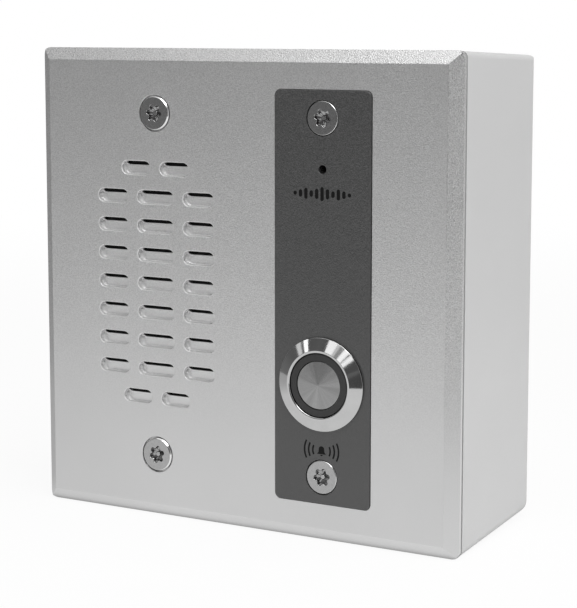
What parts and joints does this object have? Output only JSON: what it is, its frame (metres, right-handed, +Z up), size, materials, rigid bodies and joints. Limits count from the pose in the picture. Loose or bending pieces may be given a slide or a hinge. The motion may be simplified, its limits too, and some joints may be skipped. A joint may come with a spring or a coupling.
{
  "type": "audio intercom panel",
  "caption": "Square wall intercom station: bevelled metal panel with louvred speaker grille, dark label strip, microphone hole and ring-lit call button on a drafted surface box.",
  "frame": {"origin": "centre of the wall face at the back of the box", "axes": "+X to the right seen from the front, +Y from the front panel to the wall, +Z up"},
  "size_m": [0.1142, 0.0482, 0.1142],
  "materials": {
    "panel_metal": "sand-blasted, clear anodised, satin",
    "strip": "matt, fine texture",
    "box_metal": "die-cast, smooth silver grey coat, satin",
    "screw_steel": "turned stainless steel",
    "bezel_chrome": "polished",
    "cap_steel": "spun, radial sheen",
    "ring_plastic": "smoked, light off",
    "black_rubber": "matt",
    "mesh": "fine black weave",
    "white_plastic": "moulded",
    "black_plastic": "moulded",
    "spring_steel": "drawn wire",
    "brass": "stamped",
    "plated_steel": "zinc plated",
    "capsule": "drawn can",
    "basket_paint": "black coat on pressed steel",
    "cone_paper": "pressed paper",
    "spider_cloth": "resin treated cloth",
    "ferrite": "ground ferrite",
    "phenolic": "laminated board",
    "board": "green solder mask",
    "can_sleeve": "shrink sleeve"
  },
  "bodies": {
    "housing": {"front_panel": "panel_metal", "label_strip": "strip", "grille_baffle": "panel_metal", "grille_mesh": "mesh", "panel_gasket": "black_rubber", "back_box": "box_metal", "panel_screws": "screw_steel", "cable_grommet": "black_rubber", "button_bezel": "bezel_chrome", "button_spring": "spring_steel", "button_contact_block": "black_plastic", "button_terminals": "brass", "button_seal": "black_rubber", "button_lock_washer": "plated_steel", "button_nut": "plated_steel", "microphone_boot": "black_rubber", "microphone_capsule": "capsule", "speaker_foam": "black_rubber", "speaker_basket": "basket_paint", "speaker_surround": "black_rubber", "speaker_spider": "spider_cloth", "speaker_top_plate": "plated_steel", "speaker_magnet": "ferrite", "speaker_yoke": "plated_steel", "speaker_tag_strip": "phenolic", "speaker_clamps": "plated_steel", "speaker_clamp_screws": "plated_steel", "main_board": "board", "processor_chip": "black_plastic", "audio_chips": "black_plastic", "network_jack": "plated_steel", "terminal_block": "board", "filter_capacitors": "can_sleeve", "power_inductor": "ferrite", "board_headers": "white_plastic", "board_screws": "plated_steel"},
    "call_button": {"button_cap": "cap_steel", "button_light_ring": "ring_plastic", "button_plunger": "white_plastic", "contact_bridge": "brass"},
    "speaker_cone_assembly": {"speaker_cone": "cone_paper", "speaker_dust_cap": "cone_paper", "speaker_voice_coil": "brass"}
  },
  "joints": [
    {"name": "button_press", "type": "slide", "parent": "housing", "child": "call_button", "axis": [0, 1, 0], "range_m": [0, 0.002], "stiffness_N_per_m": 600, "springref_m": -0.003, "deforming": ["button_spring"]},
    {"name": "cone_stroke", "type": "slide", "parent": "housing", "child": "speaker_cone_assembly", "axis": [0, 1, 0], "range_m": [-0.0005, 0.0005], "stiffness_N_per_m": 120, "deforming": ["speaker_surround", "speaker_spider"]}
  ]
}
